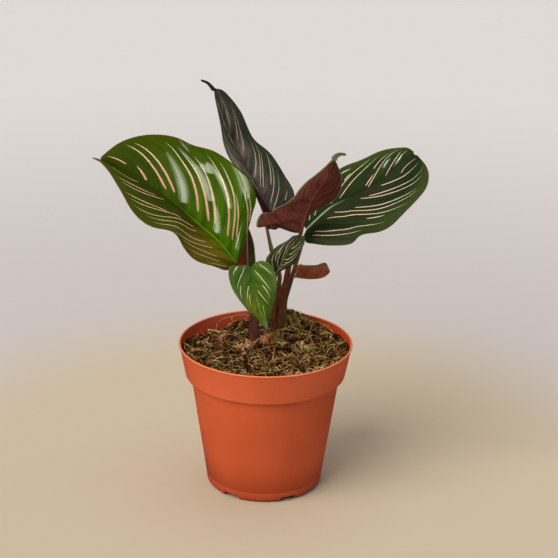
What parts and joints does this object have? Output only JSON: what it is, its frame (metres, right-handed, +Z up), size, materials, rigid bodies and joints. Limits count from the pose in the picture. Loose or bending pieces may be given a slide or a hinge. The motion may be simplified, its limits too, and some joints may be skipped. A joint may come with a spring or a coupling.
{
  "type": "potted pinstripe calathea",
  "caption": "Young upright foliage plant with pinstriped, maroon-backed leaves, growing in a round nursery pot of soil.",
  "frame": {"origin": "on the pot's axis, in the plane that its foot stands on", "axes": "+Z up along the pot's axis, +X to the right and -Y to the front as the picture shows the plant"},
  "size_m": [0.2229, 0.12, 0.2785],
  "materials": {
    "terracotta_plastic": "matte",
    "potting_soil": "loose and fibrous",
    "maroon_stalk": "satin",
    "bright_leaf": "waxy gloss",
    "dark_leaf": "waxy gloss"
  },
  "bodies": {
    "root": {"pot": "terracotta_plastic", "soil": "potting_soil", "left_shoot": "maroon_stalk", "right_shoot": "maroon_stalk", "leaf_broad_left": "bright_leaf", "leaf_front_heart": "bright_leaf", "leaf_folded": "dark_leaf", "leaf_tall_back": "dark_leaf", "leaf_turned": "dark_leaf", "leaf_right": "dark_leaf", "leaf_small_striped": "dark_leaf", "leaf_stub": "dark_leaf"}
  },
  "joints": []
}
